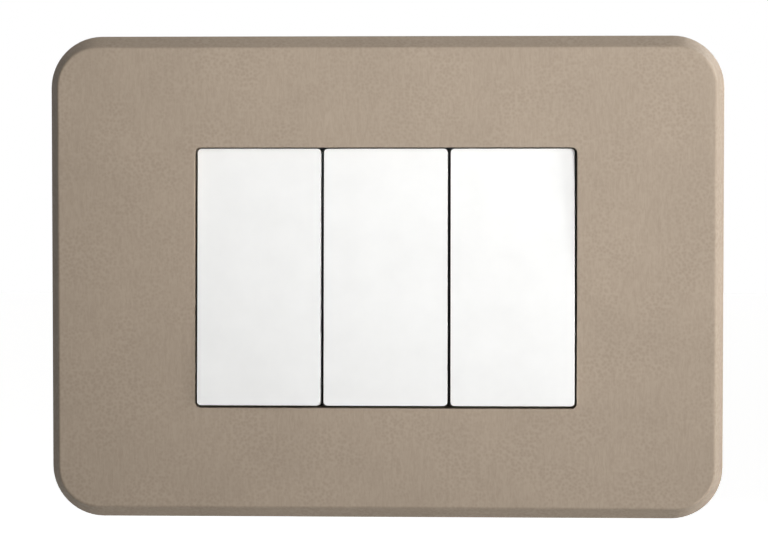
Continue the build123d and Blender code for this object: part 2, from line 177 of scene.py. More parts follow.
class PlateSettings(bpy.types.PropertyGroup):
    """Sizes and finish of the cover plate."""

    lacquer: colour("Lacquer", "Colour of the grained taupe lacquer", "#A99A89")
    # Painted shade: a darker colour in the grain's hollows, standing in for the shade that falls there.
    crease_painted_shade: colour("Painted grain shade", "Colour in the hollows of the grain", "#9F9080")
    grain_width: length("Grain width", "Width of a crease of the hide-like grain", 0.5)
    grain_length: length("Grain length", "Length of a crease, up and down the plate", 2.4)
    grain_depth: length("Grain depth", "Depth of the creases", 0.03)
    grain_lean: angle("Grain lean", "How far the creases lean from upright", 6.0)
    pore_size: length("Pore size", "Distance between the pores of the grain", 0.55)
    patch_size: length("Patch size", "Size of the patches that have more pores than creases", 6.0)
    mottle_size: length("Mottle size", "Size of the clouds in the lacquer's shade", 14.0)
    rim_radius: length("Rim corner radius", "Radius of the outer corners", 9.2)
    face_radius: length("Face corner radius", "Radius of the corners of the flat face", 6.9)
    bevel_side: length("Side bevel", "How far the bevel draws in at the two sides", 1.7)
    bevel_end: length("End bevel", "How far the bevel draws in at top and bottom", 2.2)
    bevel_depth: length("Bevel depth", "Depth of the bevel from the face", 3.5)
    face_wall: length("Face wall", "Thickness of the face", 2.0)
    rim_wall: length("Rim wall", "Thickness of the rim", 1.8)
    collar_wall: length("Collar wall", "Thickness of the wall round the opening", 1.2)
    opening_radius: length("Opening corner radius", "Radius of the corners of the opening", 1.0)
    opening_side_gap: length("Side gap", "Gap between the row of keys and the opening's sides", 0.36)
    opening_end_gap: length("End gap", "Gap between the keys and the opening's top and bottom", 0.30)
    face_softness: length("Face edge", "How far the rounding of the face's edge reaches", 0.34)
    rim_softness: length("Rim edge", "How far the rounding between bevel and rim reaches", 0.5)
    opening_softness: length("Opening edge", "How far the rounding of the opening's edge reaches", 0.04)
    back_softness: length("Back edges", "How far the rounding of the back edges reaches", 0.15)
    rib_wall: length("Rib wall", "Thickness of the ribs behind the face", 1.0)
    rib_depth: length("Rib depth", "How far the ribs stand out behind the face", 1.8)
    rib_offset: length("Rib offset", "Height of the side ribs above and below the middle", 13.0)
    hook_side: length("Hook from the side", "Distance of the snap hooks from the plate's sides", 12.0)
    hook_end: length("Hook from the end", "Distance of the snap hooks from top and bottom", 18.0)
    hook_width: length("Hook width", "Width of a snap hook", 6.0)
    hook_thickness: length("Hook thickness", "Thickness of a snap hook", 1.4)
    hook_barb: length("Hook barb", "How far a hook's barb stands out", 0.8)
    hook_barb_height: length("Hook barb height", "Height of a hook's barb", 0.7)
    hook_slack: length("Hook slack", "Play between a barb and the frame", 0.15)
    frame_web: length("Frame web", "Thickness of the frame that the hooks go through", 1.6)


class KeySettings(bpy.types.PropertyGroup):
    """Sizes and finish of the rocker keys."""

    white: colour("Key white", "Colour of the keys", "#F3F3F2")
    height: length("Height", "Height of a key, measured level", 45.7)
    depth: length("Depth", "Depth of a key from its face to its skirt", 3.2)
    face_wall: length("Face wall", "Thickness of a key's face", 1.3)
    skirt_wall: length("Skirt wall", "Thickness of a key's skirt", 1.1)
    corner_radius: length("Corner radius", "Radius of a key's corners", 0.7)
    draft: length("Draft", "How far a key's sides draw in from skirt to face", 0.05)
    softness: length("Edge", "How far the rounding of a key's front edge reaches", 0.04)
    face_ahead: length("Face ahead of pivot", "Distance from the rocking axis to the face", 3.388)
    tilt: angle("Tilt", "How far a key leans at rest, its top pressed in", 3.0)
    rib_wall: length("Rib wall", "Thickness of the ribs across a key's back", 0.8)
    rib_depth: length("Rib depth", "Height of the ribs across a key's back", 0.9)
    rib_offset: length("Rib offset", "Height of the ribs above and below the middle", 15.0)
    pad_height: length("Pad height", "Height of the carrier's pad that the legs hook over", 18.0)
    pad_thickness: length("Pad thickness", "Thickness of the carrier's pad", 1.3)
    leg_width: length("Leg width", "Width of a snap leg", 8.0)
    leg_wall: length("Leg wall", "Thickness of a snap leg", 1.1)
    leg_hook: length("Leg hook", "How far a leg's hook reaches over the pad", 0.6)
    fit: length("Fit", "Play between the legs and the pad", 0.05)


class HardwareSettings(bpy.types.PropertyGroup):
    """Sizes and finishes of the screws and springs."""

    zinc: colour("Zinc", "Colour of zinc-plated steel", "#BFC3C8")
    spring_steel: colour("Spring steel", "Colour of the spring wire", "#A4A6A9")
    box_pitch: length("Box screw pitch", "Pitch of the thread on the two long screws", 0.6)
    box_radius: length("Box screw radius", "Radius over the thread of the long screws", 1.75)
    box_neck: length("Box screw neck", "Radius of the plain neck under the long screws' heads", 1.55)
    box_head_height: length("Box screw head", "Height of the long screws' heads", 2.2)
    clamp_pitch: length("Clamp screw pitch", "Pitch of the thread on the clamp screws", 0.5)
    clamp_radius: length("Clamp screw radius", "Radius over the thread of the clamp screws", 1.45)
    clamp_neck: length("Clamp screw neck", "Radius of the plain neck under the clamp screws' heads", 1.25)
    clamp_head_height: length("Clamp screw head", "Height of the clamp screws' heads", 2.0)
    slot_width: length("Slot width", "Width of the driver slots", 0.8)
    slot_depth: length("Slot depth", "Depth of the driver slots", 0.9)
    slot_turn: angle("Slot turn", "How far the slots of the clamp screws are turned", 35.0)
    head_softness: length("Head edge", "How far the rounding of a screw head's edge reaches", 0.35)
    wire: length("Spring wire", "Diameter of the spring wire", 0.4)
    spring_turns: bpy.props.IntProperty(
        name="Spring turns", description="Number of turns in a spring", default=5, min=1
    )
    spring_travel: length("Spring travel", "How far a spring is pressed together at most", 1.5)


class PolymerSettings(bpy.types.PropertyGroup):
    """Colours and small sizes of the parts behind the plate."""

    frame_grey: colour("Frame", "Colour of the glass-filled frame", "#4B4C4E")
    module_black: colour("Module", "Colour of the module's two halves", "#161617")
    acetal: colour("Carrier", "Colour of the carriers", "#E4E2DA")
    plunger_amber: colour("Plunger", "Colour of the plungers", "#C9B58A")
    brass: colour("Brass", "Colour of the contact strips and blades", "#D2AE66")
    silver: colour("Silver", "Colour of the contact tips", "#DDDAD3")
    moulded_edge: length("Moulded edge", "Rounding on the edges of moulded parts", 0.15)
    stamped_edge: length("Stamped edge", "Rounding on the edges of stamped parts", 0.06)
    panel_width: length("Panel width", "Width of the sunk panel on a module's back", 13.0)
    panel_height: length("Panel height", "Height of the sunk panel", 17.0)
    panel_depth: length("Panel depth", "Depth of the sunk panel", 0.5)
    panel_radius: length("Panel corner radius", "Radius of the panel's corners", 1.2)
    fin_thickness: length("Fin thickness", "Thickness of the fin along a module's flange", 0.5)
    fin_rise: length("Fin rise", "How far the fin stands out towards the next module", 0.07)
    fin_seat: length("Fin seat", "Distance of the fin from the frame's face", 0.25)


class StageSettings(bpy.types.PropertyGroup):
    """Camera, lamps and floor."""

    floor: colour("Floor", "Colour of the floor", "#E3E2E0")
    floor_drop: length("Floor drop", "Height of the plate's lower edge above the floor", 90.0)
    floor_size: length("Floor size", "Length of the floor's sides", 6000.0)
    aim: spot("Aim", "Point that the camera looks at", (-0.435, -4.0, 0.667))
    camera_azimuth: angle("Camera azimuth", "How far the camera stands to the right", 2.2)
    camera_elevation: angle("Camera elevation", "How far the camera stands above the aim", 2.05)
    camera_distance: length("Camera distance", "Distance from the camera to its aim", 460.0)
    camera_lens: bpy.props.FloatProperty(
        name="Lens", description="Focal length in millimetres", default=120.5, subtype="DISTANCE_CAMERA"
    )
    key_azimuth: angle("Key lamp azimuth", "How far the key lamp stands to the right", 28.0)
    key_elevation: angle("Key lamp elevation", "How far the key lamp stands above the plate", 12.0)
    lamp_distance: length("Lamp distance", "Distance from the lamps to the plate", 600.0)
    lamp_size: length("Lamp size", "Length of the lamps' sides", 240.0)
    key_aim: spot("Key lamp aim", "Point that the key lamp is turned to", (32.0, -8.0, 56.0))
    key_spread: angle("Key lamp spread", "Angle that the grid in front of the key lamp lets through", 28.0)
    key_power: power("Key lamp power", "Power of the key lamp in watts", 0.172)
    side_azimuth: angle("Side lamp azimuth", "How far the side lamp stands to the right", 75.0)
    side_elevation: angle("Side lamp elevation", "How far the side lamp stands above the plate", 6.0)
    side_power: power("Side lamp power", "Power of the side lamp in watts", 2.05)
    rear_azimuth: angle("Rear lamp azimuth", "How far the rear lamp stands round to the right", 150.0)
    rear_elevation: angle("Rear lamp elevation", "How far the rear lamp stands above the plate", 25.0)
    rear_power: power("Rear lamp power", "Power of the rear lamp in watts", 1.5)
    ambient: amount("Ambient", "Strength of the even light from all round", 0.1)
    floor_glow: amount("Floor glow", "How much white the floor shows beside its lit colour", 0.84)


class SwitchPlateSettings(bpy.types.PropertyGroup):
    """All settings of the switch plate."""

    plate: group(PlateSettings, "Plate", "Cover plate")
    key: group(KeySettings, "Key", "Rocker keys")
    hardware: group(HardwareSettings, "Hardware", "Screws and springs")
    polymer: group(PolymerSettings, "Polymer", "Parts behind the plate")
    stage: group(StageSettings, "Stage", "Camera, lamps and floor")


# Modelling


def activate(piece):
    """Makes one piece the only selected and active object."""
    bpy.ops.object.select_all(action="DESELECT")
    piece.select_set(True)
    bpy.context.view_layer.objects.active = piece


def blank_piece(name):
    """An empty piece at the origin, open in edit mode, ready for primitives."""
    bpy.ops.object.select_all(action="DESELECT")
    bpy.ops.mesh.primitive_plane_add(enter_editmode=True)
    bpy.ops.mesh.delete(type="VERT")
    bpy.ops.mesh.select_mode(type="EDGE")
    piece = bpy.context.object
    piece.name = name
    piece.data.name = name
    return piece


def pick(kind, test):
    """Selects only those faces, edges or vertices of the piece in edit mode that pass a test."""
    modes = {"faces": "FACE", "edges": "EDGE", "verts": "VERT"}
    bpy.ops.mesh.select_mode(type=modes[kind])
    bpy.ops.mesh.select_all(action="DESELECT")
    mesh = bmesh.from_edit_mesh(bpy.context.object.data)
    found = [item for item in getattr(mesh, kind) if test(item)]
    if not found:
        raise RuntimeError(f"no {kind} of {bpy.context.object.name} are where they should be")
    for item in found:
        item.select_set(True)
    bmesh.update_edit_mesh(bpy.context.object.data)


def near(value, target):
    """Whether two lengths agree to a micrometre."""
    return abs(value - target) < SAME_POINT


def level(axis, value):
    """A test for the edges that lie at one value on an axis."""
    return lambda edge: all(near(getattr(vertex.co, axis), value) for vertex in edge.verts)


def point(vertex):
    """A vertex's place, rounded to a tenth of a micrometre."""
    return tuple(round(c / POINT_GRID) for c in vertex.co)


def add_block(x, y, z):
    """Adds a block between two values on each axis to the piece in edit mode."""
    low = Vector((min(x), min(y), min(z)))
    high = Vector((max(x), max(y), max(z)))
    middle = (low + high) / 2
    bpy.ops.mesh.primitive_cube_add(size=1, location=middle)
    bpy.ops.transform.resize(value=high - low, center_override=middle)


def chosen_points():
    """The places of the selected vertices of the piece in edit mode."""
    mesh = bmesh.from_edit_mesh(bpy.context.object.data)
    return {point(vertex) for vertex in mesh.verts if vertex.select}


def add_loop(outline, segments=14):
    """Adds a rounded rectangle of edges at one depth to the piece in edit mode, and returns its points."""
    width, height, radius, y = outline
    bpy.ops.mesh.select_mode(type="VERT")
    bpy.ops.mesh.primitive_plane_add(size=1, location=(0, y, 0), rotation=(pi / 2, 0, 0))
    bpy.ops.transform.resize(value=(width, 1, height), center_override=(0, y, 0))
    bpy.ops.mesh.bevel(offset=radius, segments=segments, affect="VERTICES", clamp_overlap=False)
    points = chosen_points()
    bpy.ops.mesh.delete(type="ONLY_FACE")
    return points


def in_loop(points):
    """A test for the edges that run along a loop."""
    return lambda edge: all(point(vertex) in points for vertex in edge.verts)


def extend(points, old, new):
    """Extrudes a loop to another depth, fits its four corners to a new outline, and returns its points."""
    pick("edges", in_loop(points))
    bpy.ops.mesh.extrude_region_move(TRANSFORM_OT_translate={"value": (0, new[3] - old[3], 0)})
    mesh = bmesh.from_edit_mesh(bpy.context.object.data)
    mesh.verts.index_update()
    drawn = {vertex.index for vertex in mesh.verts if vertex.select}
    fitted = set()
    for x in (-1, 1):
        for z in (-1, 1):
            centres = [
                Vector((x * (width / 2 - radius), new[3], z * (height / 2 - radius)))
                for width, height, radius, _ in (old, new)
            ]
            pick(
                "verts",
                lambda vertex: vertex.index in drawn and vertex.co.x * x > 0 and vertex.co.z * z > 0,
            )
            growth = new[2] / old[2]
            bpy.ops.transform.resize(value=(growth, 1, growth), center_override=centres[0])
            bpy.ops.transform.translate(value=centres[1] - centres[0])
            fitted |= chosen_points()
    return fitted


def soften(test, reach, segments):
    """Rounds the picked edges of the piece in edit mode."""
    pick("edges", test)
    bpy.ops.mesh.bevel(offset=reach, segments=segments, affect="EDGES", clamp_overlap=False)


def open_edit(piece):
    """Opens a piece in edit mode, with all of it selected."""
    activate(piece)
    bpy.ops.object.mode_set(mode="EDIT")
    bpy.ops.mesh.select_all(action="SELECT")


def close_edit():
    """Leaves edit mode with every face pointing outwards."""
    bpy.ops.mesh.select_all(action="SELECT")
    bpy.ops.mesh.normals_make_consistent(inside=False)
    bpy.ops.object.mode_set(mode="OBJECT")


def apply_modifier(piece, kind, **settings):
    """Adds a modifier to a piece with its settings, and applies it."""
    activate(piece)
    modifier = piece.modifiers.new(kind.lower(), kind)
    for name, value in settings.items():
        setattr(modifier, name, value)
    bpy.ops.object.modifier_apply(modifier=modifier.name)


def combine(piece, other, operation, crossed=True):
    """Joins another shape to a piece, or cuts it away, and removes that shape.

    The blocks of either shape may cross each other, unless crossed is false.
    """
    apply_modifier(piece, "BOOLEAN", operation=operation, solver="EXACT", use_self=crossed, object=other)
    bpy.data.objects.remove(other)
    open_edit(piece)
    bpy.ops.mesh.dissolve_degenerate(threshold=SAME_POINT)
    bpy.ops.object.mode_set(mode="OBJECT")


def turn_profile(piece, pitch, turns, rounded):
    """Turns the profile in a piece into a helix along z, and closes its ends."""
    bpy.ops.object.mode_set(mode="OBJECT")
    apply_modifier(
        piece,
        "SCREW",
        axis="Z",
        angle=2 * pi,
        screw_offset=pitch,
        iterations=turns,
        steps=TURN_STEPS,
        render_steps=TURN_STEPS,
        use_smooth_shade=rounded,
    )
    open_edit(piece)
    bpy.ops.mesh.remove_doubles(threshold=TURN_WELD)
    bpy.ops.mesh.fill_holes(sides=0)
    close_edit()


def smooth(piece, limit=SMOOTH_ANGLE):
    """Shades a piece smooth over its roundings while its flat faces stay flat."""
    activate(piece)
    bpy.ops.object.shade_smooth_by_angle(angle=limit)
    apply_modifier(piece, "WEIGHTED_NORMAL", mode="FACE_AREA", weight=80, keep_sharp=True)


def settle(piece, location=(0, 0, 0), rotation=(0, 0, 0)):
    """Moves and turns a piece, and puts its place into its mesh."""
    activate(piece)
    piece.location = location
    piece.rotation_euler = rotation
    bpy.ops.object.transform_apply(location=True, rotation=True, scale=True)


def lean(piece, pivot, tilt):
    """Turns a piece about the x-wise axis through a point, and puts that into its mesh."""
    activate(piece)
    there, back = Matrix.Translation(pivot), Matrix.Translation(-pivot)
    piece.matrix_world = there @ Matrix.Rotation(tilt, 4, "X") @ back
    bpy.ops.object.transform_apply(location=True, rotation=True, scale=True)


def duplicate(piece, name):
    """A copy of a piece with its own mesh."""
    activate(piece)
    bpy.ops.object.duplicate(linked=False)
    copy = bpy.context.object
    copy.name = name
    copy.data.name = name
    return copy


def copied(piece, name, shift):
    """A copy of a piece with its own mesh, shifted."""
    copy = duplicate(piece, name)
    settle(copy, shift)
    return copy


def joined(pieces):
    """Several pieces made into the first one."""
    activate(pieces[0])
    for piece in pieces:
        piece.select_set(True)
    bpy.ops.object.join()
    return pieces[0]


def fit(piece, body, node, slot, finish):
    """Gives a piece its finish and puts it in the place of its node."""
    low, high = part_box(node)
    corners = [piece.matrix_world @ Vector(corner) for corner in piece.bound_box]
    for axis in range(3):
        reach = [corner[axis] for corner in corners]
        if min(reach) < low[axis] - BOX_PLAY or max(reach) > high[axis] + BOX_PLAY:
            raise RuntimeError(f"{piece.name} reaches out of {node}")
    piece.data.materials.clear()
    piece.data.materials.append(finish)
    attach(piece, body)
    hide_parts(node)


def merged_copy(node, name):
    """A copy of a CAD node, its triangles merged into whole faces."""
    piece = duplicate(node, name)
    piece.parent = None
    for mark in list(piece.keys()):
        del piece[mark]
    bpy.ops.mesh.customdata_custom_splitnormals_clear()
    open_edit(piece)
    bpy.ops.mesh.remove_doubles(threshold=SAME_POINT)
    bpy.ops.mesh.dissolve_limited(angle_limit=FLAT_ANGLE)
    bpy.ops.object.mode_set(mode="OBJECT")
    return piece


def round_edges(piece, reach):
    """Rounds the sharp edges of a piece."""
    apply_modifier(
        piece,
        "BEVEL",
        width=reach,
        segments=2,
        limit_method="ANGLE",
        angle_limit=SHARP_ANGLE,
        use_clamp_overlap=False,
    )


def module_shift(place):
    """How far a module stands from the middle one."""
    return Vector((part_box(f"switch_front_{place}")[0].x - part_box("switch_front_middle")[0].x, 0, 0))


def fit_modules(middle, stem, kind, slot, finish):
    """Copies the middle module's piece to its two neighbours, and fits all three to their nodes."""
    pieces = {}
    for place in MODULES:
        node = frame["nodes"][f"{kind}_{place}"]
        pieces[place] = middle
        if place != "middle":
            pieces[place] = copied(middle, f"{stem}_{place}", module_shift(place))
        fit(pieces[place], body_of(node)[0], node.name, slot, finish)
    return pieces


# Materials


def add_node(tree, kind, inputs=(), **settings):
    """Adds a node with its settings, and sets or links each of its named inputs."""
    node = tree.nodes.new(kind)
    for name, value in settings.items():
        setattr(node, name, value)
    for name, value in dict(inputs).items():
        if isinstance(value, bpy.types.NodeSocket):
            tree.links.new(value, node.inputs[name])
        else:
            node.inputs[name].default_value = value
    return node


def new_finish(name):
    """An empty node material, with its tree."""
    finish = bpy.data.materials.new(name)
    finish.use_nodes = True
    finish.node_tree.nodes.clear()
    return finish, finish.node_tree


def close_finish(tree, **inputs):
    """Ends a material in its surface shader."""
    named = {name.replace("_", " "): value for name, value in inputs.items()}
    shader = add_node(tree, "ShaderNodeBsdfPrincipled", named)
    add_node(tree, "ShaderNodeOutputMaterial", {"Surface": shader.outputs["BSDF"]})


def per_metre(size):
    """The texture scale that gives a pattern of a size."""
    return 1 / size


def grained_lacquer(settings):
    """Polymer plate in a matt lacquer embossed like fine hide.

    The eye sees a soft, even taupe with shallow upright creases that catch the light from the side. Painted
    shade darkens the hollows of the grain.
    """
    finish, tree = new_finish("grained taupe lacquer")
    place = add_node(tree, "ShaderNodeTexCoord").outputs["Object"]
    across, along = per_metre(settings.grain_width), per_metre(settings.grain_length)
    stretched = add_node(
        tree,
        "ShaderNodeMapping",
        {"Vector": place, "Scale": (across, across, along), "Rotation": (0, settings.grain_lean, 0)},
    )
    creases = add_node(
        tree,
        "ShaderNodeTexNoise",
        {
            "Vector": stretched.outputs["Vector"],
            "Scale": 1.0,
            "Detail": 3.0,
            "Roughness": 0.55,
            "Distortion": 1.1,
        },
    )
    pores = add_node(
        tree,
        "ShaderNodeTexVoronoi",
        {"Vector": place, "Scale": per_metre(settings.pore_size), "Smoothness": 0.7},
        feature="SMOOTH_F1",
    )
    patches = add_node(
        tree,
        "ShaderNodeTexNoise",
        {"Vector": place, "Scale": per_metre(settings.patch_size), "Detail": 1.0},
    )
    pebbled = add_node(
        tree,
        "ShaderNodeMapRange",
        {"Value": patches.outputs["Fac"], "From Min": 0.35, "From Max": 0.65, "To Min": 0.1, "To Max": 0.75},
    )
    height = add_node(
        tree,
        "ShaderNodeMix",
        {"Factor": pebbled.outputs["Result"], "A": creases.outputs["Fac"], "B": pores.outputs["Distance"]},
    )
    # Mask of painted shade: the lower the grain, the more of the darker hollow colour.
    hollow = add_node(
        tree,
        "ShaderNodeMapRange",
        {"Value": height.outputs["Result"], "From Min": 0.3, "From Max": 0.62, "To Min": 0.0, "To Max": 1.0},
    )
    mottle = add_node(
        tree,
        "ShaderNodeTexNoise",
        {"Vector": place, "Scale": per_metre(settings.mottle_size), "Detail": 2.0, "Roughness": 0.5},
    )
    # The lacquer, darkened with painted shade in the hollows of the grain.
    body = add_node(
        tree,
        "ShaderNodeMix",
        {"Factor": hollow.outputs["Result"], "A": settings.crease_painted_shade, "B": settings.lacquer},
        data_type="RGBA",
    )
    shade = add_node(
        tree,
        "ShaderNodeMapRange",
        {"Value": mottle.outputs["Fac"], "From Min": 0.3, "From Max": 0.7, "To Min": 0.97, "To Max": 1.03},
    )
    tinted = add_node(
        tree,
        "ShaderNodeVectorMath",
        {0: body.outputs["Result"], 1: shade.outputs["Result"]},
        operation="MULTIPLY",
    )
    gloss = add_node(
        tree,
        "ShaderNodeMapRange",
        {"Value": height.outputs["Result"], "From Min": 0.3, "From Max": 0.65, "To Min": 0.62, "To Max": 0.5},
    )
    relief = add_node(
        tree,
        "ShaderNodeBump",
        {"Strength": 0.5, "Distance": settings.grain_depth, "Height": height.outputs["Result"]},
    )
    close_finish(
        tree,
        Base_Color=tinted.outputs["Vector"],
        Roughness=gloss.outputs["Result"],
        IOR=1.5,
        Specular_IOR_Level=0.12,
        Normal=relief.outputs["Normal"],
    )
    return finish


def close_patchy(
    tree, place, fine, tones, patch_size, patch_start, roughness, gloss_spread, relief, depth, **inputs
):
    """Ends a material whose two tones lie in patches, and whose gloss and relief follow a fine pattern."""
    patches = add_node(
        tree,
        "ShaderNodeTexNoise",
        {"Vector": place, "Scale": per_metre(patch_size), "Detail": 3.0, "Roughness": 0.6},
    )
    spread = add_node(
        tree,
        "ShaderNodeMapRange",
        {
            "Value": patches.outputs["Fac"],
            "From Min": patch_start,
            "From Max": 0.7,
            "To Min": 0.0,
            "To Max": 1.0,
        },
    )
    body = add_node(
        tree,
        "ShaderNodeMix",
        {"Factor": spread.outputs["Result"], "A": tones[0], "B": tones[1]},
        data_type="RGBA",
    )
    gloss = add_node(
        tree,
        "ShaderNodeMapRange",
        {
            "Value": fine,
            "From Min": 0.3,
            "From Max": 0.7,
            "To Min": roughness - gloss_spread,
            "To Max": roughness + gloss_spread,
        },
    )
    bumps = add_node(tree, "ShaderNodeBump", {"Strength": relief, "Distance": depth, "Height": fine})
    close_finish(
        tree,
        Base_Color=body.outputs["Result"],
        Roughness=gloss.outputs["Result"],
        Normal=bumps.outputs["Normal"],
        **inputs,
    )


def moulded_polymer(name, base, fleck, fleck_size, texture_size, texture_depth, roughness, ior):
    """Injection-moulded polymer from a spark-eroded mould.

    The eye sees a satin skin of tiny pits, faint flow clouds and, in filled grades, fibre flecks.
    Real pits are finer than the render can show, so they are drawn coarser here.
    """
    finish, tree = new_finish(name)
    place = add_node(tree, "ShaderNodeTexCoord").outputs["Object"]
    pits = add_node(
        tree,
        "ShaderNodeTexNoise",
        {"Vector": place, "Scale": per_metre(texture_size), "Detail": 2.0, "Roughness": 0.6},
    )
    close_patchy(
        tree,
        place,
        fine=pits.outputs["Fac"],
        tones=(base, fleck),
        patch_size=fleck_size,
        patch_start=0.35,
        roughness=roughness,
        gloss_spread=0.05,
        relief=0.4,
        depth=texture_depth,
        IOR=ior,
    )
    return finish


def worked_metal(name, base, tarnish, line_width, line_length, patch_size, roughness):
    """Rolled, drawn or plated metal.

    The eye sees fine lines along the way it was worked, and patches that are a little duller.
    Real lines are finer than the render can show, so they are drawn wider and deeper here.
    """
    finish, tree = new_finish(name)
    place = add_node(tree, "ShaderNodeTexCoord").outputs["Object"]
    across, along = per_metre(line_width), per_metre(line_length)
    stretched = add_node(tree, "ShaderNodeMapping", {"Vector": place, "Scale": (across, across, along)})
    lines = add_node(
        tree,
        "ShaderNodeTexNoise",
        {"Vector": stretched.outputs["Vector"], "Scale": 1.0, "Detail": 2.0, "Roughness": 0.5},
    )
    close_patchy(
        tree,
        place,
        fine=lines.outputs["Fac"],
        tones=(base, tarnish),
        patch_size=patch_size,
        patch_start=0.4,
        roughness=roughness,
        gloss_spread=0.08,
        relief=0.25,
        depth=0.01 * MM,
        Metallic=1.0,
    )
    return finish


def key_polymer(settings):
    """White ABS for the keys: a satin, almost even skin."""
    return moulded_polymer(
        "white ABS", settings.white, linear("#EFEFEE"), fleck_size=9 * MM,
        texture_size=0.35 * MM, texture_depth=0.006 * MM, roughness=0.36, ior=1.53,
    )


def frame_polymer(settings):
    """Glass-filled polyamide for the frame: grey, with pale fibre flecks."""
    return moulded_polymer(
        "glass-filled polyamide", settings.frame_grey, linear("#5A5B5D"), fleck_size=0.9 * MM,
        texture_size=0.4 * MM, texture_depth=0.02 * MM, roughness=0.55, ior=1.53,
    )


def module_polymer(settings):
    """Black polycarbonate for the modules: fine matt mould texture."""
    return moulded_polymer(
        "black polycarbonate", settings.module_black, linear("#1E1E20"), fleck_size=5 * MM,
        texture_size=0.4 * MM, texture_depth=0.015 * MM, roughness=0.48, ior=1.58,
    )


def carrier_polymer(settings):
    """Natural acetal for the carriers: waxy white with faint flow clouds."""
    return moulded_polymer(
        "natural acetal", settings.acetal, linear("#D8D5CB"), fleck_size=3 * MM,
        texture_size=0.4 * MM, texture_depth=0.008 * MM, roughness=0.34, ior=1.48,
    )


def plunger_polymer(settings):
    """Amber polyamide for the plungers: smooth, with faint flow clouds."""
    return moulded_polymer(
        "amber polyamide", settings.plunger_amber, linear("#BBA373"), fleck_size=2 * MM,
        texture_size=0.3 * MM, texture_depth=0.008 * MM, roughness=0.38, ior=1.53,
    )


def rolled_brass(settings):
    """Rolled brass strip: fine lines along its length and light tarnish."""
    return worked_metal(
        "rolled brass", settings.brass, linear("#B98F4B"),
        line_width=0.12 * MM, line_length=4 * MM, patch_size=2.5 * MM, roughness=0.32,
    )


def contact_silver(settings):
    """Silver alloy contact tips: pale, with a touch of grey tarnish."""
    return worked_metal(
        "silver alloy", settings.silver, linear("#B9B5AC"),
        line_width=0.15 * MM, line_length=0.15 * MM, patch_size=0.8 * MM, roughness=0.26,
    )


def zinc_plate(settings):
    """Zinc-plated steel: cool grey, with cloudy plating."""
    return worked_metal(
        "zinc-plated steel", settings.zinc, linear("#A7ABB2"),
        line_width=0.2 * MM, line_length=0.2 * MM, patch_size=1.2 * MM, roughness=0.34,
    )


def drawn_wire(settings):
    """Drawn spring steel wire: darker, bright along its turns."""
    return worked_metal(
        "drawn spring steel", settings.spring_steel, linear("#85878B"),
        line_width=0.15 * MM, line_length=0.15 * MM, patch_size=1 * MM, roughness=0.3,
    )


# Pieces


def snap_hook(settings, side, end, front, catch):
    """Adds one of the plate's snap hooks to the piece in edit mode."""
    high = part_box("cover_plate")[1]
    middle = high.x - settings.hook_side
    inner, outer = middle - settings.hook_thickness / 2, middle + settings.hook_thickness / 2
    height = high.z - settings.hook_end
    span = [end * (height - settings.hook_width / 2), end * (height + settings.hook_width / 2)]
    tip = catch + settings.hook_barb_height
    reach = outer + settings.hook_barb
    add_block((side * inner, side * outer), (front, tip), span)
    add_block((side * middle, side * reach), (catch, tip), span)
    pick(
        "verts",
        lambda vertex: near(vertex.co.x, side * reach) and near(vertex.co.y, tip) and vertex.co.z * end > 0,
    )
    bpy.ops.transform.translate(value=(-side * settings.hook_barb, 0, 0))


